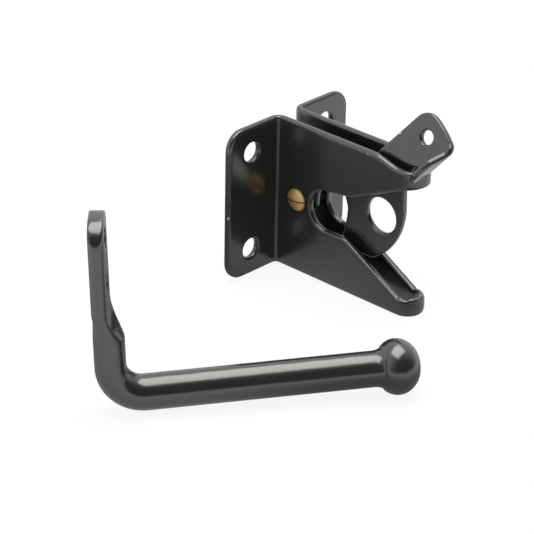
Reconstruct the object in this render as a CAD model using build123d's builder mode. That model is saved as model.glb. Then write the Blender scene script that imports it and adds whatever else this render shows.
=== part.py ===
from build123d import *
from math import asin, atan2, cos, degrees, hypot, radians, sin, tan
import os

# Gate gravity latch: a folded steel body, a swinging finger on a brass pin, and a striker bar.
# X runs along the mounting flanges, Z is up, and the latch projects from its mounting plane at
# Y = 0 towards -Y. The origin is the centre of the four screw holes on the mounting plane.
# A reach is a distance from the mounting plane towards -Y.

# Body, folded from one sheet
sheet = 2.6
body_height = 57.0
body_width = 11.8
flange_width = 60.5
flange_corner_radius = 7.0
fold_radius = 1.6
nose_reach = 65.6
edge_break = 0.45

# Screw holes of the flanges
screw_hole_diameter = 7.2
screw_pitch_x = 37.6
screw_pitch_z = 37.2

# Round seat and flared mouth for the striker
seat_clearance = 3.1
seat_drop = 0.6
throat_upper_run = 10.7
throat_upper_rise = 0.75
throat_lower_run = 8.6
throat_lower_fall = 0.35
throat_corner_radius = 5.0
upper_jaw_height = 7.2
lower_jaw_height = 2.8
nose_flare_setback = 5.6
nose_flare_angle = 13.0

# Dip in the top rim, where the arm of the finger passes over the nose
dip_depth = 2.4
dip_start_setback = 20.1
dip_end_setback = 7.1

# Pivot pin and its spacer washers
pin_diameter = 6.4
pin_reach = 12.1
pin_drop = 0.5
pin_clearance = 0.05
pin_head_overhang = 1.6
pin_head_height = 1.5
washer_width = 1.8
washer_clearance = 0.05

# Finger plate. A setback is measured from the inner face of the nose, a run from the seat.
finger_sheet = 2.4
finger_edge_break = 0.35
boss_wall = 2.8
boss_tangent_angle = 53.0
pin_to_seat_wall = 1.95
finger_seat_margin = 1.0
finger_neck_height = 16.0
finger_neck_radius = 5.0
finger_neck_run = 3.0
retaining_top_run = 6.0
retaining_bottom_run = 4.4
foot_depth = 13.9
foot_radius = 2.5
cam_setback = 6.1
cam_height = 9.0
cam_middle_setback = 9.6
cam_middle_depth = 4.3
cam_end_setback = 19.5
front_edge_setback = 6.4
front_edge_height = 18.0
shoulder_setback = 2.4
shoulder_gap = 0.35
padlock_hole_diameter = 13.0
padlock_hole_setback = 16.0
padlock_hole_height = 3.7

# Arm and thumb tab, leaning away from the mid plane above the rim
arm_angle = 52.4
arm_width = 19.0
arm_setback = 19.0
arm_length = 25.6
tab_lean = 18.0
tab_bend_radius = 3.0
tab_rear_corner_radius = 6.0
tab_front_corner_radius = 5.0
tab_end_crown = 1.3
cable_hole_diameter = 5.0
cable_hole_from_end = 7.2
cable_hole_across = 8.2

# Thumb lip, folded from the front edge of the arm
lip_fold_angle = 85.0
lip_fold_radius = 1.0
lip_flat = 6.6
lip_corner_radius = 3.2
lip_overrun = 4.0
lip_taper_end = 23.0
lip_taper_level = 0.3
lip_end_level = -0.8

# Striker bar: a rod with a ball head, bent up into a leg that is forged flat into a blade
rod_diameter = 12.0
rod_length = 92.9
rod_bend_radius = 11.0
ball_diameter = 18.6
ball_half_length = 8.6
ball_neck_radius = 4.0
ball_end_radius = 3.0
leg_thickness = 10.2
leg_width = 12.8
leg_round_length = 21.5
leg_taper_length = 11.0
leg_length = 64.2
blade_thickness = 5.0
blade_width = 20.0
blade_twist = 9.8
blade_setback = 1.5
blade_end_radius = 8.5
blade_root_radius = 11.0
blade_hole_diameter = 6.5
blade_hole_pitch = 16.0
blade_hole_from_end = 8.0

# Where the striker bar stands beside the latch
ball_place_x = -45.3
ball_place_reach = 93.8
rod_heading = -36.7

os.makedirs("parts", exist_ok=True)

top = body_height / 2
wall_outer = body_width / 2
wall_inner = wall_outer - sheet
rim_height = top - dip_depth
nose_inner_reach = nose_reach - sheet
past_nose = nose_reach + 10
pin_radius = pin_diameter / 2
pin_centre = (-pin_reach, -pin_drop)
rod_radius = rod_diameter / 2
seat_radius = rod_radius + seat_clearance / 2
hook_radius = seat_radius + finger_seat_margin
seat_reach = pin_reach + pin_radius + pin_to_seat_wall + hook_radius
seat_centre = (-seat_reach, -seat_drop)
arm_rear_reach = nose_inner_reach - arm_setback


def crease_edges(builder, least_angle=20):
    """Edges where two faces meet at an angle, without the tangent seams."""
    faces = builder.faces()
    creases = ShapeList()
    for edge in builder.edges():
        middle = edge @ 0.5
        normals = [face.normal_at(middle) for face in faces if edge in face.edges()]
        if len(normals) == 2 and normals[0].get_angle(normals[1]) > least_angle:
            creases.append(edge)
    return creases


def corners_at(sketch, *points):
    """Vertices of a sketch at the given local points."""
    return sketch.vertices().filter_by(
        lambda vertex: any(hypot(vertex.X - x, vertex.Y - y) < 0.01 for x, y in points)
    )


# Latch body: flange, wall, nose and back again, all one sheet
with BuildPart() as latch_body:
    bend_reach = nose_reach - wall_outer
    fold_reach = sheet + fold_radius
    fold_x = wall_outer + fold_radius
    with BuildSketch(Plane.XY.offset(-top)) as plan:
        with BuildLine():
            Line((0, -nose_reach + sheet), (0, -nose_reach))
            CenterArc((0, -bend_reach), wall_outer, 270, -90)
            Line((-wall_outer, -bend_reach), (-wall_outer, -fold_reach))
            CenterArc((-fold_x, -fold_reach), fold_radius, 0, 90)
            Line((-fold_x, -sheet), (-flange_width / 2, -sheet))
            Line((-flange_width / 2, -sheet), (-flange_width / 2, 0))
            Line((-flange_width / 2, 0), (-fold_x, 0))
            CenterArc((-fold_x, -fold_reach), fold_radius + sheet, 90, -90)
            Line((-wall_inner, -fold_reach), (-wall_inner, -bend_reach))
            CenterArc((0, -bend_reach), wall_inner, 180, 90)
        make_face()
        mirror(about=Plane.YZ)
    extrude(amount=body_height)

    # The mouth: a round seat, a short throat and two flared jaws
    throat_upper_reach = seat_reach + throat_upper_run
    throat_lower_reach = seat_reach + throat_lower_run
    nose_flare_reach = nose_reach - nose_flare_setback
    throat_upper = (-throat_upper_reach, seat_radius + throat_upper_rise)
    throat_lower = (-throat_lower_reach, -seat_radius - throat_lower_fall)
    nose_corner = (-nose_flare_reach, rim_height - upper_jaw_height)
    nose_rise = (past_nose - nose_flare_reach) * tan(radians(nose_flare_angle))
    lower_slope = (top - lower_jaw_height + throat_lower[1]) / (nose_reach - throat_lower_reach)
    flare_fall = (past_nose - throat_lower_reach) * lower_slope
    with BuildSketch(Plane.YZ) as mouth:
        with BuildLine():
            CenterArc(seat_centre, seat_radius, 0, 360)
            Line(throat_upper, throat_lower)
        make_hull()
        with BuildLine():
            Polyline(
                throat_upper,
                nose_corner,
                (-past_nose, nose_corner[1] + nose_rise),
                (-past_nose, throat_lower[1] - flare_fall),
                throat_lower,
                close=True,
            )
        make_face()
        fillet(corners_at(mouth, throat_upper, throat_lower, nose_corner), radius=throat_corner_radius)
    extrude(amount=wall_outer + 1, both=True, mode=Mode.SUBTRACT)

    # The dip in the top rim
    dip_start_reach = nose_reach - dip_start_setback
    dip_end_reach = nose_reach - dip_end_setback
    with BuildSketch(Plane.YZ) as dip:
        with BuildLine():
            sag = Spline(
                (-dip_start_reach, top),
                (-dip_end_reach, rim_height),
                tangents=((-1, 0), (-1, 0)),
            )
            Polyline(
                sag @ 1,
                (-past_nose, rim_height),
                (-past_nose, top + 5),
                (-dip_start_reach, top + 5),
                sag @ 0,
            )
        make_face()
    extrude(amount=wall_outer + 1, both=True, mode=Mode.SUBTRACT)

    flange_corners = latch_body.edges().filter_by(Axis.Y).filter_by(
        lambda e: abs(abs(e.center().X) - flange_width / 2) < 0.01
    )
    fillet(flange_corners, radius=flange_corner_radius)

    # Every cut edge of the sheet is broken
    chamfer(crease_edges(latch_body), length=edge_break)

    with Locations(Plane.XZ):
        with GridLocations(screw_pitch_x, screw_pitch_z, 2, 2):
            Hole(screw_hole_diameter / 2)
    with Locations(Plane.YZ.offset(wall_outer)):
        with Locations(pin_centre):
            Hole(pin_radius + pin_clearance)

latch_body.part.label = "latch_body"
export_step(latch_body.part, "parts/latch_body.step")


# Pivot pin: a brass shank through both walls, with a low domed head riveted at each end
def domed_head_radius(edge_radius, height):
    return (edge_radius**2 + height**2) / (2 * height)


head_edge = pin_radius + pin_head_overhang
head_radius = domed_head_radius(head_edge, pin_head_height)
head_end = wall_outer + pin_head_height
with BuildPart() as pivot_pin:
    pin_plane = Plane(origin=(0, -pin_reach, -pin_drop), x_dir=(0, 1, 0), z_dir=(1, 0, 0))
    with BuildSketch(Plane(pin_plane.origin, x_dir=(1, 0, 0), z_dir=(0, 0, 1))) as half_section:
        with BuildLine():
            dome_right = RadiusArc((wall_outer, head_edge), (head_end, 0), head_radius)
            dome_left = RadiusArc((-head_end, 0), (-wall_outer, head_edge), head_radius)
            Polyline(
                dome_left @ 1,
                (-wall_outer, pin_radius),
                (wall_outer, pin_radius),
                dome_right @ 0,
            )
            Line(dome_right @ 1, dome_left @ 0)
        make_face()
    revolve(axis=Axis(pin_plane.origin, (1, 0, 0)))

pivot_pin.part.label = "pivot_pin"
export_step(pivot_pin.part, "parts/pivot_pin.step")

# Spacer washers: they keep the finger in the middle of the slot
washer_thickness = wall_inner - finger_sheet / 2 - 2 * washer_clearance
for name, side in (("left_spacer_washer", -1), ("right_spacer_washer", 1)):
    washer_start = side * (finger_sheet / 2 + washer_clearance)
    with BuildPart() as spacer_washer:
        with BuildSketch(Plane.YZ.offset(washer_start)):
            with Locations(pin_centre):
                Circle(pin_radius + washer_width)
                Circle(pin_radius + pin_clearance, mode=Mode.SUBTRACT)
        extrude(amount=side * washer_thickness)
    spacer_washer.part.label = name
    export_step(spacer_washer.part, f"parts/{name}.step")

# Finger: one plate, with a boss on the pin, a neck over the seat, the retaining hook, the arm
# that leans away above the rim, and the thumb lip folded from the front edge of the arm
arm_run = cos(radians(arm_angle))
arm_rise = sin(radians(arm_angle))
lean = radians(tab_lean)
fold = radians(lip_fold_angle)
half_sheet = finger_sheet / 2
bend_height = rim_height + shoulder_gap
bend_mid_radius = tab_bend_radius + half_sheet
bend_shift = bend_mid_radius * tan(lean) * arm_run / arm_rise
boss_radius = pin_radius + boss_wall
cam_reach = nose_inner_reach - cam_setback
cam_end_reach = nose_inner_reach - cam_end_setback
shoulder_reach = nose_inner_reach - shoulder_setback
retaining_top_reach = seat_reach + retaining_top_run
retaining_bottom_reach = seat_reach + retaining_bottom_run
neck_meets_arm = arm_rear_reach - (bend_height - finger_neck_height) * arm_run / arm_rise
lip_outer_radius = lip_fold_radius + finger_sheet
flat_width = arm_width - lip_outer_radius * sin(fold)
flat_front_reach = arm_rear_reach + flat_width / arm_rise
tab_plane = Plane(
    origin=(
        bend_mid_radius * (1 - cos(lean)),
        -arm_rear_reach - bend_shift,
        bend_height + bend_mid_radius * sin(lean),
    ),
    x_dir=(0, -1, 0),
    z_dir=(-cos(lean), 0, sin(lean)),
)
arm_direction = tab_plane.x_dir * arm_run + tab_plane.y_dir * arm_rise
front_direction = tab_plane.x_dir * arm_rise - tab_plane.y_dir * arm_run


def arm_point(distance_along, distance_across):
    """A point of the arm in the plane of the tab, from the rear end of the bend."""
    return (
        distance_along * arm_run + distance_across * arm_rise,
        distance_along * arm_rise - distance_across * arm_run,
    )


with BuildPart() as latch_finger:
    # Hook plate
    neck_corner = (-neck_meets_arm, finger_neck_height)
    neck_end = (-seat_reach + finger_neck_run, finger_neck_height)
    foot_corner = (-retaining_bottom_reach, -foot_depth)
    boss_run = boss_radius * cos(radians(boss_tangent_angle))
    boss_rise = boss_radius * sin(radians(boss_tangent_angle))
    boss_tangent = (-pin_reach + boss_run, -pin_drop + boss_rise)
    with BuildSketch(Plane.YZ) as hook_outline:
        with BuildLine():
            cam = ThreePointArc(
                (-cam_end_reach, -foot_depth),
                (cam_middle_setback - nose_inner_reach, -cam_middle_depth),
                (-cam_reach, cam_height),
            )
            Polyline(
                cam @ 1,
                (front_edge_setback - nose_inner_reach, front_edge_height),
                (-shoulder_reach, bend_height),
                (-arm_rear_reach, bend_height),
                neck_corner,
                neck_end,
                boss_tangent,
                pin_centre,
                seat_centre,
                foot_corner,
                cam @ 0,
            )
        make_face()
        fillet(corners_at(hook_outline, neck_corner, neck_end), radius=finger_neck_radius)
        fillet(corners_at(hook_outline, foot_corner), radius=foot_radius)
        with Locations(pin_centre):
            Circle(boss_radius)
        retaining_rise = (seat_reach - retaining_top_reach) ** 2
        retaining_top = (-retaining_top_reach, -seat_drop + (hook_radius**2 - retaining_rise) ** 0.5)
        top_angle = degrees(atan2(retaining_top[1] + seat_drop, retaining_top[0] + seat_reach))
        with BuildLine():
            over_seat = CenterArc(seat_centre, hook_radius, top_angle, -top_angle)
            Polyline(
                over_seat @ 1,
                (-seat_reach + hook_radius, -foot_depth - 1),
                (-retaining_bottom_reach, -foot_depth - 1),
                (-retaining_bottom_reach, -foot_depth + foot_radius),
                over_seat @ 0,
            )
        make_face(mode=Mode.SUBTRACT)
        with Locations(pin_centre):
            Circle(pin_radius + pin_clearance, mode=Mode.SUBTRACT)
        with Locations((padlock_hole_setback - nose_inner_reach, padlock_hole_height)):
            Circle(padlock_hole_diameter / 2, mode=Mode.SUBTRACT)
    extrude(amount=half_sheet, both=True)
    plate_outline = crease_edges(latch_finger).filter_by(
        lambda e: abs(e.center().X) > half_sheet - 0.01 and e.center().Z < bend_height - 0.01
    )
    chamfer(plate_outline, length=finger_edge_break)

    # Bend above the rim
    with BuildSketch(Plane.XY.offset(bend_height)) as bend_foot:
        with BuildLine():
            Polyline(
                (-half_sheet, -arm_rear_reach),
                (half_sheet, -arm_rear_reach),
                (half_sheet, -flat_front_reach),
                (-half_sheet, -flat_front_reach),
                close=True,
            )
        make_face()
    revolve(axis=Axis((bend_mid_radius, 0, bend_height), (0, 1, 0)), revolution_arc=tab_lean)

    with BuildSketch(Plane.YZ) as behind_arm:
        with BuildLine():
            Polyline(
                (-arm_rear_reach, bend_height),
                (-arm_rear_reach - 2 * bend_shift, bend_height + 2 * bend_mid_radius * sin(lean)),
                (-arm_rear_reach + 2, bend_height + 2 * bend_mid_radius * sin(lean)),
                (-arm_rear_reach + 2, bend_height),
                close=True,
            )
        make_face()
    extrude(amount=2 * finger_sheet, both=True, mode=Mode.SUBTRACT)

    # Thumb tab
    with BuildSketch(tab_plane) as tab_outline:
        with BuildLine():
            Polyline(
                arm_point(0, 0),
                arm_point(arm_length, 0),
                arm_point(arm_length, flat_width),
                arm_point(flat_width * arm_run / arm_rise, flat_width),
                close=True,
            )
        make_face()
        with Locations(arm_point(arm_length - cable_hole_from_end, cable_hole_across)):
            Circle(cable_hole_diameter / 2, mode=Mode.SUBTRACT)
    extrude(amount=half_sheet, both=True)

    # Thumb lip: an angle section along the arm, its free edge tapering to the tip
    lip_start = flat_width * arm_run / arm_rise
    lip_section = Plane(
        origin=tab_plane.from_local_coords((*arm_point(lip_start, 0), 0)),
        x_dir=front_direction,
        z_dir=arm_direction,
    )
    fold_centre = Vector(flat_width, -half_sheet - lip_fold_radius)
    lip_run = Vector(cos(fold), -sin(fold)) * lip_flat
    with BuildSketch(lip_section) as lip_profile:
        with BuildLine():
            outer_arc = CenterArc(fold_centre, lip_outer_radius, 90, -lip_fold_angle)
            inner_arc = CenterArc(fold_centre, lip_fold_radius, 90, -lip_fold_angle)
            Polyline(outer_arc @ 1, (outer_arc @ 1) + lip_run, (inner_arc @ 1) + lip_run, inner_arc @ 1)
            Line(inner_arc @ 0, outer_arc @ 0)
        make_face()
    extrude(amount=arm_length - lip_start)
    extrude(lip_profile.sketch, amount=-lip_overrun)
    with BuildSketch(Plane.XY.offset(bend_height)) as below_lip:
        with BuildLine():
            Polyline(
                (-arm_width, -shoulder_reach),
                (arm_width, -shoulder_reach),
                (arm_width, -past_nose),
                (-arm_width, -past_nose),
                close=True,
            )
        make_face()
    extrude(amount=-3 * lip_overrun, mode=Mode.SUBTRACT)

    lip_plane = Plane(
        origin=lip_section.from_local_coords((*tuple(outer_arc @ 1)[:2], 0)),
        x_dir=arm_direction,
        z_dir=front_direction * sin(fold) + tab_plane.z_dir * -cos(fold),
    )
    # The free edge of the lip: a rounded lower corner, then a taper to the tip
    lip_length = arm_length - lip_start
    corner_level = lip_flat - lip_corner_radius
    drop_to_rim = bend_height - lip_plane.origin.Z - corner_level * lip_plane.y_dir.Z
    corner_start = drop_to_rim / arm_direction.Z
    with BuildSketch(lip_plane) as lip_waste:
        with BuildLine():
            corner_arc = CenterArc(
                (corner_start + lip_corner_radius, corner_level), lip_corner_radius, 180, -90
            )
            free_edge = Spline(
                corner_arc @ 1,
                (lip_taper_end - lip_start, lip_taper_level),
                (lip_length + 3, lip_end_level),
                tangents=((1, -0.1), (1, -0.2)),
            )
            Polyline(
                free_edge @ 1,
                (lip_length + 5, lip_end_level),
                (lip_length + 5, lip_flat + 5),
                (-lip_overrun - 3, lip_flat + 5),
                (-lip_overrun - 3, corner_level),
                corner_arc @ 0,
            )
        make_face()
    extrude(amount=-2 * finger_sheet, mode=Mode.SUBTRACT)

    # The end of the tab: crowned, with a rounded corner on each side
    tab_end_start = arm_length - 2 * tab_rear_corner_radius
    end_corner = arm_point(arm_length - tab_end_crown, 0)
    front_corner = arm_point(arm_length - tab_end_crown, arm_width + 1)
    with BuildSketch(tab_plane) as tab_end:
        with BuildLine():
            ThreePointArc(end_corner, arm_point(arm_length, arm_width / 2), front_corner)
            Polyline(
                front_corner,
                arm_point(tab_end_start, arm_width + 1),
                arm_point(tab_end_start, arm_width + 5),
                arm_point(arm_length + 5, arm_width + 5),
                arm_point(arm_length + 5, -5),
                arm_point(tab_end_start, -5),
                arm_point(tab_end_start, 0),
                end_corner,
            )
        make_face()
        fillet(corners_at(tab_end, end_corner), radius=tab_rear_corner_radius)
        fillet(corners_at(tab_end, front_corner), radius=tab_front_corner_radius)
    extrude(amount=3 * lip_flat, both=True, mode=Mode.SUBTRACT)

latch_finger.part.label = "latch_finger"
export_step(latch_finger.part, "parts/latch_finger.step")

# Striker bar, resting on its bend and its ball
floor = -top
ball_radius = ball_diameter / 2
rod_slope = degrees(asin((ball_radius - rod_radius) / rod_length))
ball_centre = Vector(ball_place_x, -ball_place_reach, floor + ball_radius)
level_rod = Vector(1, 0, 0).rotate(Axis.Z, rod_heading)
level_side = Vector(0, -1, 0).rotate(Axis.Z, rod_heading)
rod_direction = level_rod.rotate(Axis((0, 0, 0), level_side), rod_slope)
bar_plane = Plane(origin=ball_centre - rod_direction * rod_length, x_dir=rod_direction, z_dir=level_side)
leg_direction = bar_plane.y_dir
blade_normal = rod_direction.rotate(Axis((0, 0, 0), leg_direction), -blade_twist)
blade_side = blade_normal.cross(leg_direction)
bend_start = bar_plane.from_local_coords((rod_bend_radius, 0, 0))


def leg_section(distance):
    """Plane across the leg, its second direction along the thickness of the blade."""
    return Plane(
        origin=bar_plane.origin + leg_direction * distance,
        x_dir=blade_side,
        z_dir=leg_direction,
    )


with BuildPart() as striker_bar:
    # Rod and ball
    neck_x = rod_length - (ball_radius**2 - rod_radius**2) ** 0.5
    end_height = (ball_radius**2 - ball_half_length**2) ** 0.5
    ball_end = rod_length + ball_half_length
    with BuildSketch(bar_plane) as half_profile:
        with Locations((rod_length, 0)):
            Circle(ball_radius)
        with BuildLine():
            Polyline(
                (rod_bend_radius, 0),
                (rod_bend_radius, rod_radius),
                (rod_length, rod_radius),
                (rod_length, 0),
                close=True,
            )
        make_face()
        with Locations((rod_length / 2, -rod_length)):
            Rectangle(3 * rod_length, 2 * rod_length, mode=Mode.SUBTRACT)
        with Locations((ball_end + ball_radius, 0)):
            Rectangle(2 * ball_radius, 2 * ball_diameter, mode=Mode.SUBTRACT)
        fillet(corners_at(half_profile, (neck_x, rod_radius)), radius=ball_neck_radius)
        fillet(corners_at(half_profile, (ball_end, end_height)), radius=ball_end_radius)
    revolve(axis=Axis(bar_plane.origin, rod_direction))

    # The bend, where the round rod turns into the slightly flattened leg
    with BuildLine(bar_plane):
        CenterArc((rod_bend_radius, rod_bend_radius), rod_bend_radius, 270, -90)
    with BuildSketch(Plane(bend_start, x_dir=bar_plane.z_dir, z_dir=-rod_direction)):
        Circle(rod_radius)
    with BuildSketch(leg_section(rod_bend_radius)) as leg_outline:
        Ellipse(leg_width / 2, leg_thickness / 2)
    sweep(multisection=True)
    extrude(leg_outline.sketch, amount=leg_round_length - rod_bend_radius)

    # Blade, flattened towards the far side of the leg, with round edges
    blade_offset = blade_thickness / 2 - rod_radius + blade_setback
    blade_start = leg_round_length + leg_taper_length
    edge_radius = blade_thickness / 2
    edge_centre = blade_width / 2 - edge_radius
    side_arc = 70
    with BuildSketch(leg_section(leg_round_length)):
        with BuildLine():
            for start, size in (
                (-side_arc / 2, side_arc),
                (side_arc / 2, 180 - side_arc),
                (180 - side_arc / 2, side_arc),
                (180 + side_arc / 2, 180 - side_arc),
            ):
                EllipticalCenterArc((0, 0), leg_width / 2, leg_thickness / 2, start, arc_size=size)
        make_face()
    with BuildSketch(leg_section(blade_start)) as flat_end:
        with BuildLine():
            right_edge = CenterArc((edge_centre, blade_offset), edge_radius, -90, 180)
            left_edge = CenterArc((-edge_centre, blade_offset), edge_radius, 90, 180)
            Line(right_edge @ 1, left_edge @ 0)
            Line(left_edge @ 1, right_edge @ 0)
        make_face()
    loft(ruled=True)
    extrude(flat_end.sketch, amount=leg_length - blade_start)
    blade_face = blade_offset + blade_thickness / 2
    side_plane = Plane(origin=bar_plane.origin, x_dir=blade_normal, z_dir=blade_side)
    with BuildSketch(side_plane) as blade_root:
        with BuildLine():
            root_arc = CenterArc(
                (blade_face + blade_root_radius, blade_start), blade_root_radius, 180, 90
            )
            Polyline(
                root_arc @ 1,
                (blade_face + 2 * blade_root_radius, blade_start - blade_root_radius),
                (blade_face + 2 * blade_root_radius, blade_start),
                root_arc @ 0,
            )
        make_face()
    extrude(amount=blade_width, both=True, mode=Mode.SUBTRACT)

    # Rounded blade end and its two screw holes
    face_plane = Plane(origin=bar_plane.origin, x_dir=blade_side, z_dir=-blade_normal)
    with BuildSketch(face_plane) as blade_waste:
        with Locations((0, leg_length)):
            Rectangle(2 * blade_width, 2 * blade_end_radius)
        with Locations((0, leg_length - blade_width)):
            RectangleRounded(blade_width, 2 * blade_width, blade_end_radius, mode=Mode.SUBTRACT)
        for place in (0, 1):
            with Locations((0, leg_length - blade_hole_from_end - place * blade_hole_pitch)):
                Circle(blade_hole_diameter / 2)
    extrude(amount=2 * rod_radius, both=True, mode=Mode.SUBTRACT)

striker_bar.part.label = "striker_bar"
export_step(striker_bar.part, "parts/striker_bar.step")
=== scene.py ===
from math import cos, radians, sin

import bmesh
import bpy
from mathutils import Matrix, Vector, noise
from mathutils.bvhtree import BVHTree


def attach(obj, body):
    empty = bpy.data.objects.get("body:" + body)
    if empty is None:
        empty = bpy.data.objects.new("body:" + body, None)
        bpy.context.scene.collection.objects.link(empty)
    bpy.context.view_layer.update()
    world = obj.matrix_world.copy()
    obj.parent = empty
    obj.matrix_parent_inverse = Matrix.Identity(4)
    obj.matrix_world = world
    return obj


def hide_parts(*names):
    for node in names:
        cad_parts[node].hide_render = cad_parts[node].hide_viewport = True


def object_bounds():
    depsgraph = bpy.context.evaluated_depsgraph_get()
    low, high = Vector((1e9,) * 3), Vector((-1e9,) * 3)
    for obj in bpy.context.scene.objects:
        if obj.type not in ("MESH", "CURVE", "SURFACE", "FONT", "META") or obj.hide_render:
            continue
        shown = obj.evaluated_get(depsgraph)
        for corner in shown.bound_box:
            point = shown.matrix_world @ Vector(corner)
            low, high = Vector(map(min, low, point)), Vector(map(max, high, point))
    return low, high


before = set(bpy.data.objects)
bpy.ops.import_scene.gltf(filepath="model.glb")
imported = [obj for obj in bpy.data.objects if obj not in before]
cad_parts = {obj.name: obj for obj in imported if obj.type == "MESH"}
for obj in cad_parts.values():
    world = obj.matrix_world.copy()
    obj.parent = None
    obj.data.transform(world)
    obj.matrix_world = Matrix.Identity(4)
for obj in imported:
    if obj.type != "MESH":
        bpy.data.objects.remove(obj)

bounds_at_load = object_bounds()

# Latch body: one sheet of 2.6 mm steel, pressed out flat with its holes and its mouth, then folded
# into two flanges for the post, two walls and a round nose. It is powder coated black after folding,
# and the coat rounds its cut edges and gathers in lumps at the end of the lower jaw.


def linear_colour(srgb_hex):
    """An sRGB hex colour such as "#1b1c1b" as linear RGBA."""
    channels = [int(srgb_hex[place:place + 2], 16) / 255 for place in (1, 3, 5)]
    linear = [c / 12.92 if c <= 0.04045 else ((c + 0.055) / 1.055) ** 2.4 for c in channels]
    return (*linear, 1.0)


def add_node(material, kind, links=(), **settings):
    """Adds a node. Settings name its properties or inputs, and links give (input, output socket)."""
    node = material.node_tree.nodes.new(kind)
    for name, value in settings.items():
        if hasattr(node, name):
            setattr(node, name, value)
        else:
            node.inputs[name.replace("_", " ")].default_value = value
    for name, socket in links:
        material.node_tree.links.new(node.inputs[name], socket)
    return node


millimetre = 0.001
merge_distance = 0.0005 * millimetre
flat_turn = radians(0.6)
sharp_turn = radians(60)
chamfer_turn = radians(25)
chamfer_width = 0.22 * millimetre
arris_facets = 3
softening_pull = 0.5
kept_triangles = 0.5


def skinned_copy(node_name, piece_name, body, arris, skin_step, softening, reshape):
    """A copy of a CAD node with an even skin, which powder coat leaves rounded at every arris.

    The skin has a point about every skin_step, each is moved by reshape, which takes and gives its
    place in millimetres, and softening says how many times they are evened out.
    """
    piece = bpy.data.objects.new(piece_name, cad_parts[node_name].data.copy())
    bpy.context.collection.objects.link(piece)
    bpy.ops.object.select_all(action="DESELECT")
    piece.select_set(True)
    bpy.context.view_layer.objects.active = piece
    bpy.ops.object.mode_set(mode="EDIT")
    bpy.ops.mesh.select_all(action="SELECT")
    bpy.ops.mesh.remove_doubles(threshold=merge_distance)
    bpy.ops.mesh.dissolve_limited(angle_limit=flat_turn)
    bpy.ops.object.mode_set(mode="OBJECT")

    # A sharp edge gets the whole arris, and an edge of a chamfer the share that fits on it
    if arris:
        shape = bmesh.new()
        shape.from_mesh(piece.data)
        weight = shape.edges.layers.float.new("bevel_weight_edge")
        for edge in shape.edges:
            turn = edge.calc_face_angle(0)
            if turn > sharp_turn:
                edge[weight] = 1.0
            elif turn > chamfer_turn:
                edge[weight] = chamfer_width / arris
        shape.to_mesh(piece.data)
        sharp_surface = BVHTree.FromBMesh(shape)
        shape.free()
        bevel = piece.modifiers.new("arrises", "BEVEL")
        bevel.limit_method = "WEIGHT"
        bevel.width = arris
        bevel.segments = arris_facets
        bevel.use_clamp_overlap = False
        bpy.ops.object.modifier_apply(modifier=bevel.name)

        # Where short edges meet, an arris can shoot past the surface, and its point is set back on it
        farthest_gap = 0.5 * arris
        for vertex in piece.data.vertices:
            on_surface, _, _, gap = sharp_surface.find_nearest(vertex.co)
            if gap > farthest_gap:
                vertex.co = on_surface

    skin = piece.modifiers.new("skin", "REMESH")
    skin.mode = "VOXEL"
    skin.voxel_size = skin_step
    bpy.ops.object.modifier_apply(modifier=skin.name)
    for vertex in piece.data.vertices:
        vertex.co = reshape(vertex.co / millimetre) * millimetre
    soften = piece.modifiers.new("rounded arrises", "SMOOTH")
    soften.factor = softening_pull
    soften.iterations = softening
    bpy.ops.object.modifier_apply(modifier=soften.name)
    thin_out = piece.modifiers.new("fewer faces", "DECIMATE")
    thin_out.ratio = kept_triangles
    bpy.ops.object.modifier_apply(modifier=thin_out.name)
    piece.data.shade_smooth()
    piece.data.materials.clear()
    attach(piece, body)
    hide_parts(node_name)
    return piece


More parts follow.
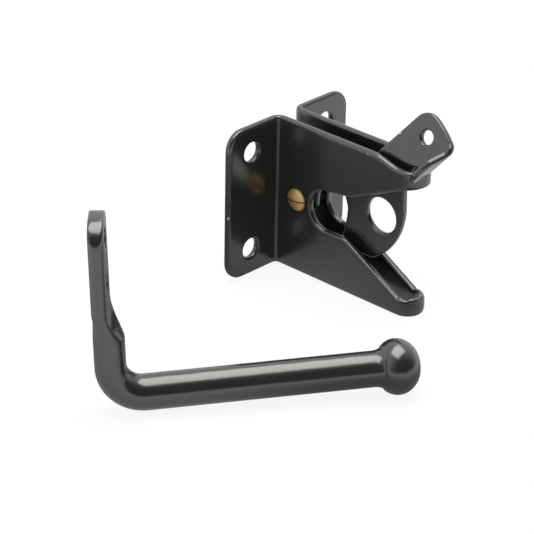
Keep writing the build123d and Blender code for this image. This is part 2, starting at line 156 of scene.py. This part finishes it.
def powder_coat(name, chips=()):
    """Black polyester powder coat, with chips at given places and radii in millimetres.

    It was sprayed on and baked, so the eye sees a satin black that mirrors the paper a little
    blurred, uneven by a fine orange peel, with dust pits and, where it was knocked, pale grey primer.
    """
    peel_width = 1.6 * millimetre
    peel_height = 0.05 * millimetre
    blotch_width = 14 * millimetre
    pit_spacing = 9 * millimetre
    pit_depth = 0.1 * millimetre
    pit_inside, pit_outside = 0.02, 0.05
    gloss_roughness, dull_roughness = 0.16, 0.26
    black = linear_colour("#1f201e")
    primer_grey = linear_colour("#a3a49c")
    primer_roughness = 0.6
    material = bpy.data.materials.new(name)
    material.use_nodes = True
    shader = material.node_tree.nodes["Principled BSDF"]
    shader.inputs["Base Color"].default_value = black
    shader.inputs["IOR"].default_value = 1.9
    place = add_node(material, "ShaderNodeTexCoord").outputs["Object"]
    peel = add_node(material, "ShaderNodeTexNoise", [("Vector", place)], Scale=1 / peel_width, Detail=3.0)
    blotch = add_node(material, "ShaderNodeTexNoise", [("Vector", place)], Scale=1 / blotch_width, Detail=4.0)
    rough = add_node(
        material, "ShaderNodeMapRange", [("Value", blotch.outputs["Fac"])],
        To_Min=gloss_roughness, To_Max=dull_roughness,
    )
    bump = add_node(
        material, "ShaderNodeBump", [("Height", peel.outputs["Fac"])], Strength=0.12, Distance=peel_height
    )

    # Dust pits: a small dent wherever a point of the pattern lies near the surface
    from_pit = add_node(
        material, "ShaderNodeTexVoronoi", [("Vector", place)], Scale=1 / pit_spacing, Randomness=1.0
    )
    dent = add_node(
        material, "ShaderNodeMapRange", [("Value", from_pit.outputs["Distance"])],
        interpolation_type="SMOOTHSTEP", From_Min=pit_inside, From_Max=pit_outside,
    )
    pitted = add_node(
        material, "ShaderNodeBump", [("Height", dent.outputs["Result"]), ("Normal", bump.outputs["Normal"])],
        Strength=0.5, Distance=pit_depth,
    )
    links = material.node_tree.links
    links.new(shader.inputs["Normal"], pitted.outputs["Normal"])

    # A chip is ragged at its edge, because the orange peel's pattern is added to the distance from it
    ragged_share, bare_share, coated_share = 1.6, 1.5, 1.8
    black_or_primer = None
    roughness = rough.outputs["Result"]
    for centre, radius in chips:
        from_chip = add_node(material, "ShaderNodeVectorMath", [(0, place)], operation="DISTANCE")
        from_chip.inputs[1].default_value = [number * millimetre for number in centre]
        ragged = add_node(
            material, "ShaderNodeMath", [(0, peel.outputs["Fac"]), (2, from_chip.outputs["Value"])],
            operation="MULTIPLY_ADD",
        )
        ragged.inputs[1].default_value = ragged_share * radius * millimetre
        chip = add_node(
            material, "ShaderNodeMapRange", [("Value", ragged.outputs[0])],
            From_Min=bare_share * radius * millimetre, From_Max=coated_share * radius * millimetre,
            To_Min=1.0, To_Max=0.0,
        )
        chipped_colour = add_node(material, "ShaderNodeMix", [(0, chip.outputs["Result"])], data_type="RGBA")
        chipped_colour.inputs[6].default_value = black
        chipped_colour.inputs[7].default_value = primer_grey
        if black_or_primer:
            links.new(chipped_colour.inputs[6], black_or_primer)
        black_or_primer = chipped_colour.outputs[2]
        chipped_rough = add_node(
            material, "ShaderNodeMix", [(0, chip.outputs["Result"]), (2, roughness)], data_type="FLOAT"
        )
        chipped_rough.inputs[3].default_value = primer_roughness
        roughness = chipped_rough.outputs[0]
    if black_or_primer:
        links.new(shader.inputs["Base Color"], black_or_primer)
    links.new(shader.inputs["Roughness"], roughness)
    return material


# Places and sizes on the body in millimetres. Reach is how far a place stands off the post.
wall_face = 5.9
sheet = 2.6
pressed_fold_radius = 1.6
coated_fold_radius = 1.0
nearest_skin, farthest_skin = 1.2, 2.4
body_bottom = -28.5
nose_reach = 65.6
jaw_end_reach = 58.0
jaw_end_top = -10
jaw_tip_height = 2.8
jaw_slope = 0.57
level_height = 6.6
level_run = 1.5
lump_width = 2.2
lump_height = 0.9
lump_base = 4.0


def form_folds_and_nose(place):
    """Tightens the two folds at the flanges and gives the lower jaw its level, lumpy end."""
    side = 1 if place.x > 0 else -1
    across = side * place.x - wall_face - pressed_fold_radius
    reach = -place.y - sheet - pressed_fold_radius
    distance = (across**2 + reach**2) ** 0.5
    if across < 0 and reach < 0 and nearest_skin < distance < farthest_skin:
        # The new round has its centre nearer the corner, and it ends where the flat faces begin
        away = Vector((across, reach)) / distance
        centre_shift = pressed_fold_radius - coated_fold_radius
        inward = -centre_shift * (away.x + away.y)
        to_round = inward + (inward**2 - 2 * centre_shift**2 + coated_fold_radius**2) ** 0.5
        to_flat = pressed_fold_radius / max(-away.x, -away.y)
        tighter = Vector((across, reach)) * min(to_round, to_flat) / pressed_fold_radius
        return Vector((
            side * (tighter.x + wall_face + pressed_fold_radius),
            -tighter.y - sheet - pressed_fold_radius,
            place.z,
        ))
    if -place.y > jaw_end_reach and place.z < jaw_end_top:
        pressed_height = jaw_tip_height + jaw_slope * (nose_reach + place.y)
        rise = min(1.0, (-place.y - jaw_end_reach) / level_run)
        stretch = 1 + (max(1.0, level_height / pressed_height) - 1) * rise
        height = (place.z - body_bottom) * stretch
        lump = lump_height * noise.noise(place / lump_width) * min(1.0, height / lump_base) * rise
        return Vector((place.x, place.y, body_bottom + height + lump))
    return place


body_piece = skinned_copy(
    "latch_body", "coated_body", "latch", 0.6 * millimetre, 0.32 * millimetre, 24, form_folds_and_nose
)

# Two chips on the left flange's edge and one on the left wall's upper rim
body_piece.data.materials.append(powder_coat("black powder coat, body", [
    ((-30.25, -2.3, -3.25), 0.55), ((-30.25, -0.2, 16.75), 0.30), ((-5.9, -44.0, 27.6), 0.30),
]))

# Finger: one 2.4 mm steel plate with a boss for the pin, a hook that holds the striker, a padlock
# hole and an arm that leans out to a thumb tab with a folded lip. It is pressed, bent, powder coated
# like the body and hung on the pin, and its own weight shuts it.

# Places and sizes on the finger in millimetres, and the way that its leaning arm points
tab_origin = Vector((0.21, -45.05, 27.75))
arm_direction = Vector((0.245, -0.610, 0.754))
lip_start = -3.6
lip_root_width = 1.4
lip_corner_along = 18
lip_corner_fade = 9
lip_hang = 4.6
lip_forward = 0.9
edge_reach_at_top = 31.8
edge_top = 5.49
edge_slope = 0.0947
edge_margin = 0.4
edge_fade = 4.5
air_share = -0.3
hollow_bottom, hollow_top = -13, 6.4
hollow_bottom_fade, hollow_top_fade = 3, 1.2
hollow_middle = -0.2
hollow_swell = 0.2
upper_curve, lower_curve = 0.075, 0.0125


def form_hook_and_lip(place):
    """Gives the hook its shallow hollow at the seat, and lets the lip hang past the nose's rim."""
    if place.x < lip_start:
        along = (place - tab_origin).dot(arm_direction)
        near_corner = max(0.0, min(1.0, (lip_corner_along - along) / lip_corner_fade))
        share = min(1.0, (lip_start - place.x) / lip_root_width) * near_corner
        return place - arm_direction * lip_hang * share - Vector((0, lip_forward * share, 0))
    reach, height = -place.y, place.z
    edge_reach = edge_reach_at_top + (height - edge_top) * edge_slope
    depth = (reach - edge_reach + edge_margin) / edge_fade
    if not air_share < depth < 1 or not hollow_bottom < height < hollow_top:
        return place
    curve = upper_curve if height > hollow_middle else lower_curve
    shift = hollow_swell - curve * (height - hollow_middle) ** 2
    end_fade = min((hollow_top - height) / hollow_top_fade, (height - hollow_bottom) / hollow_bottom_fade)
    return place - Vector((0, shift * min(1, end_fade) * min(1, 1 - depth), 0))


finger_piece = skinned_copy(
    "latch_finger", "coated_finger", "finger", 0.5 * millimetre, 0.28 * millimetre, 16, form_hook_and_lip
)

# One chip on the tab's rear edge and one on the rim of the padlock hole
finger_piece.data.materials.append(powder_coat("black powder coat, finger", [
    ((1.5, -51.2, 35.7), 0.90), ((-1.2, -53.4, 4.7), 0.80),
]))

# Striker bar: a 12 mm steel rod with a ball upset at one end, bent up at the other and forged flat
# into a blade with two screw holes. It is powder coated like the latch, is screwed to the gate and
# drops behind the finger's hook.

# Places and sizes on the bar in millimetres, and the way that its rod points, towards the ball
ball_centre = Vector((-45.3, -93.8, -19.2))
rod_direction = Vector((0.80120, -0.59713, 0.03552)).normalized()
rod_radius = 6.0
ball_end_start = -16
neck_start, neck_end = -14, -6
ball_shortening = 0.16
neck_pull = 0.55


def form_ball(place):
    """Shortens the ball along the rod, so that it is wider than it is long, with a tight neck."""
    along = (place - ball_centre).dot(rod_direction)
    if along < ball_end_start:
        return place
    shortened = place - rod_direction * along * ball_shortening
    if neck_start < along < neck_end:
        off_axis = (place - ball_centre) - rod_direction * along
        return shortened + rod_direction * max(0, off_axis.length - rod_radius) * neck_pull
    return shortened


no_arris = 0
striker_piece = skinned_copy(
    "striker_bar", "coated_striker", "latch", no_arris, 0.42 * millimetre, 10, form_ball
)
striker_piece.data.materials.append(powder_coat("black powder coat, striker"))

# Pivot pin: a turned brass rivet with a low domed head at each end, on which the finger swings. Its
# head is rolled down on the wall after coating, so it stays bare.
head_centre = (0, -12.1 * millimetre, -0.5 * millimetre)
# Where the painted highlight and the dark line run up the head, and where the painted shade at its rim begins
# and ends
across_mark = (0, 0.10, 1)
mark_span = 4 * millimetre
rim_start, rim_end = 3.5 * millimetre, 4.5 * millimetre

# Rolled brass: a dull metal, paler above a dark line across the head and redder below it, where the paler top
# is a painted highlight, and darkened at its rim by painted shade
brass = bpy.data.materials.new("rolled brass")
brass.use_nodes = True
brass_shader = brass.node_tree.nodes["Principled BSDF"]
brass_shader.inputs["Metallic"].default_value = 1.0
brass_shader.inputs["Roughness"].default_value = 0.58
brass_place = add_node(brass, "ShaderNodeTexCoord").outputs["Object"]
from_axis = add_node(brass, "ShaderNodeVectorMath", [(0, brass_place)], operation="SUBTRACT")
from_axis.inputs[1].default_value = head_centre
over_mark = add_node(brass, "ShaderNodeVectorMath", [(0, from_axis.outputs[0])], operation="DOT_PRODUCT")
over_mark.inputs[1].default_value = across_mark
up_the_head = add_node(
    brass, "ShaderNodeMapRange", [("Value", over_mark.outputs["Value"])],
    From_Min=-mark_span, From_Max=mark_span,
)
# Painted highlight: the head is paler towards the top and redder towards the bottom, with a dark line across
# it
painted_highlight_tone = add_node(brass, "ShaderNodeValToRGB", [(0, up_the_head.outputs["Result"])])
ramp = painted_highlight_tone.color_ramp.elements
ramp[0].position = 0.0
ramp[0].color = linear_colour("#ffcf9c")
ramp[1].position = 1.0
ramp[1].color = linear_colour("#fadf9e")
for position, colour in ((0.42, "#ffca96"), (0.455, "#6e5230"), (0.48, "#6e5230"), (0.52, "#f8d898")):
    element = ramp.new(position)
    element.color = linear_colour(colour)
on_face = add_node(brass, "ShaderNodeVectorMath", [(0, from_axis.outputs[0])], operation="MULTIPLY")
on_face.inputs[1].default_value = (0, 1, 1)
from_centre = add_node(brass, "ShaderNodeVectorMath", [(0, on_face.outputs[0])], operation="LENGTH")
rim = add_node(
    brass, "ShaderNodeMapRange", [("Value", from_centre.outputs["Value"])],
    interpolation_type="SMOOTHSTEP", From_Min=rim_start, From_Max=rim_end,
)
# Painted shade: the head turns dark brown towards its rim
painted_rim_shade = add_node(
    brass, "ShaderNodeMix", [(0, rim.outputs["Result"]), (6, painted_highlight_tone.outputs["Color"])], data_type="RGBA"
)
painted_rim_shade.inputs[7].default_value = linear_colour("#3b2c1c")
brass.node_tree.links.new(brass_shader.inputs["Base Color"], painted_rim_shade.outputs[2])


def dress(node_name, material):
    """Gives a CAD node its material."""
    for material_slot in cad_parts[node_name].material_slots:
        material_slot.material = material


dress("pivot_pin", brass)

# Spacer washers: two plain steel washers on the pin, one on each side of the finger, which they keep
# in the middle of its slot. They are stamped, loose and coloured near black.

# Near-black steel: metal coloured near black, with a dull dark grey sheen
near_black_steel = bpy.data.materials.new("near-black steel")
near_black_steel.use_nodes = True
near_black_shader = near_black_steel.node_tree.nodes["Principled BSDF"]
near_black_shader.inputs["Base Color"].default_value = linear_colour("#1d1d1e")
near_black_shader.inputs["Metallic"].default_value = 1.0
near_black_shader.inputs["Roughness"].default_value = 0.5
for washer_name in ("left_spacer_washer", "right_spacer_washer"):
    dress(washer_name, near_black_steel)

# Floor: a sheet of white paper on the table, without an end in the picture. The latch and the
# striker bar stand on it for the photograph, and a faint shadow lies under them.
paper_side = 6
floor_height = bounds_at_load[0][2]
bpy.ops.object.select_all(action="DESELECT")
bpy.ops.mesh.primitive_plane_add(size=paper_side, location=(0, 0, floor_height))
floor = bpy.context.object
floor.name = "floor"

# White paper: matt white, with no gloss of its own
paper = bpy.data.materials.new("white paper")
paper.use_nodes = True
paper_nodes = paper.node_tree.nodes
paper_links = paper.node_tree.links
paper_shader = paper_nodes["Principled BSDF"]
paper_shader.inputs["Base Color"].default_value = linear_colour("#eeeeee")
paper_shader.inputs["Roughness"].default_value = 0.9
paper_white = add_node(paper, "ShaderNodeEmission", Strength=1.0)
ray = add_node(paper, "ShaderNodeLightPath")

# Black coat and brass mirror the paper as well. Painted shadows dim it close behind the latch and beside the
# rod.
paper_place = add_node(paper, "ShaderNodeTexCoord").outputs["Object"]
painted_shadow_levels = []
# Each painted shadow on the mirrored paper: its centre, the radius of its darkest part, the radius where it
# clears, and its darkest level
for shadow_centre, shadow_radius, clear_radius, shadow_level in (
    ((-0.075, 0.030, 0), 0.02, 0.14, 0.10),
    ((-0.040, -0.085, 0), 0.02, 0.08, 0.28),
):
    from_painted_shadow = add_node(paper, "ShaderNodeVectorMath", [(0, paper_place)], operation="DISTANCE")
    from_painted_shadow.inputs[1].default_value = shadow_centre
    painted_shadow = add_node(
        paper, "ShaderNodeMapRange", [("Value", from_painted_shadow.outputs["Value"])],
        interpolation_type="SMOOTHSTEP", From_Min=shadow_radius, From_Max=clear_radius,
        To_Min=shadow_level, To_Max=1.0,
    )
    painted_shadow_levels.append(painted_shadow.outputs["Result"])
# The mirrored white carries both painted shadows
mirrored_white = add_node(
    paper, "ShaderNodeMath", [(0, painted_shadow_levels[0]), (1, painted_shadow_levels[1])], operation="MULTIPLY"
)
white_level = add_node(
    paper, "ShaderNodeMix", [(0, ray.outputs["Is Camera Ray"]), (2, mirrored_white.outputs[0])],
    data_type="FLOAT",
)
white_level.inputs[3].default_value = 1.0
paper_links.new(paper_white.inputs["Strength"], white_level.outputs[0])

# Only a share of the paper is plain white, and the rest of it keeps the shadow
camera_share = 0.9
mirrored_share = 0.92
mirrored_ray = add_node(
    paper, "ShaderNodeMath",
    [(0, ray.outputs["Is Glossy Ray"]), (1, ray.outputs["Is Transmission Ray"])], operation="MAXIMUM",
)
mirrored = add_node(paper, "ShaderNodeMath", [(0, mirrored_ray.outputs[0])], operation="MULTIPLY")
mirrored.inputs[1].default_value = mirrored_share
seen = add_node(paper, "ShaderNodeMath", [(0, ray.outputs["Is Camera Ray"])], operation="MULTIPLY")
seen.inputs[1].default_value = camera_share
white_share = add_node(
    paper, "ShaderNodeMath", [(0, seen.outputs[0]), (1, mirrored.outputs[0])], operation="MAXIMUM"
)
paper_mix = add_node(
    paper, "ShaderNodeMixShader",
    [(0, white_share.outputs[0]), (1, paper_shader.outputs[0]), (2, paper_white.outputs[0])],
)
paper_links.new(paper_nodes["Material Output"].inputs["Surface"], paper_mix.outputs[0])
floor.data.materials.append(paper)

# Studio: one large softbox hangs level above the latch, in a room that is white behind the latch and
# falls to a dim one in front of it, where nothing is lit. The camera sees it white all round.
softbox_data = bpy.data.lights.new("softbox", "AREA")
softbox_data.shape = "RECTANGLE"
softbox_data.size = 1.10
softbox_data.size_y = 0.83
softbox_data.energy = 11.0
softbox_data.color = (1.0, 1.0, 0.955)
softbox = bpy.data.objects.new("softbox", softbox_data)
softbox.location = (0.0, -0.02, 1.0)
bpy.context.collection.objects.link(softbox)

white_level_behind = 1.0
dim_level_in_front = 0.10
towards_dim_side = (-0.28, -0.96, 0)
fall_start, fall_end = -0.2, 0.7
world = bpy.data.worlds.new("white room")
bpy.context.scene.world = world
world.use_nodes = True
room = world.node_tree.nodes["Background"]
room.inputs["Color"].default_value = (1, 1, 1, 1)
direction = add_node(world, "ShaderNodeTexCoord").outputs["Generated"]
facing = add_node(world, "ShaderNodeVectorMath", [(0, direction)], operation="DOT_PRODUCT")
facing.inputs[1].default_value = towards_dim_side
room_level = add_node(
    world, "ShaderNodeMapRange", [("Value", facing.outputs["Value"])],
    interpolation_type="SMOOTHSTEP", From_Min=fall_start, From_Max=fall_end,
    To_Min=white_level_behind, To_Max=dim_level_in_front,
)
world_ray = add_node(world, "ShaderNodeLightPath")
level_or_white = add_node(
    world, "ShaderNodeMix", [(0, world_ray.outputs["Is Camera Ray"]), (2, room_level.outputs[0])],
    data_type="FLOAT",
)
level_or_white.inputs[3].default_value = 1.0
world.node_tree.links.new(room.inputs["Strength"], level_or_white.outputs[0])

# Camera: a long lens, from the left and above, turned a little about its own axis, so that the four
# corners of the flange, the screw holes and the rod fall where the photograph has them.
camera_azimuth = radians(-46.917)
camera_elevation = radians(27.207)
camera_roll = radians(1.128)
camera_distance = 0.843818
camera_aim = Vector((-0.039616, -0.030, -0.008421))
towards_camera = Vector((
    sin(camera_azimuth) * cos(camera_elevation),
    -cos(camera_azimuth) * cos(camera_elevation),
    sin(camera_elevation),
))
level_right = Vector((cos(camera_azimuth), sin(camera_azimuth), 0))
level_up = towards_camera.cross(level_right)
camera_right = level_right * cos(camera_roll) + level_up * sin(camera_roll)
camera_up = towards_camera.cross(camera_right)
camera_data = bpy.data.cameras.new("camera")
camera_data.lens = 167.7
camera_data.sensor_width = 36
camera = bpy.data.objects.new("camera", camera_data)
camera_place = camera_aim + towards_camera * camera_distance
camera.matrix_world = Matrix((
    (camera_right.x, camera_up.x, towards_camera.x, camera_place.x),
    (camera_right.y, camera_up.y, towards_camera.y, camera_place.y),
    (camera_right.z, camera_up.z, towards_camera.z, camera_place.z),
    (0, 0, 0, 1),
))
bpy.context.collection.objects.link(camera)
bpy.context.scene.camera = camera
bpy.context.scene.view_settings.view_transform = "Standard"
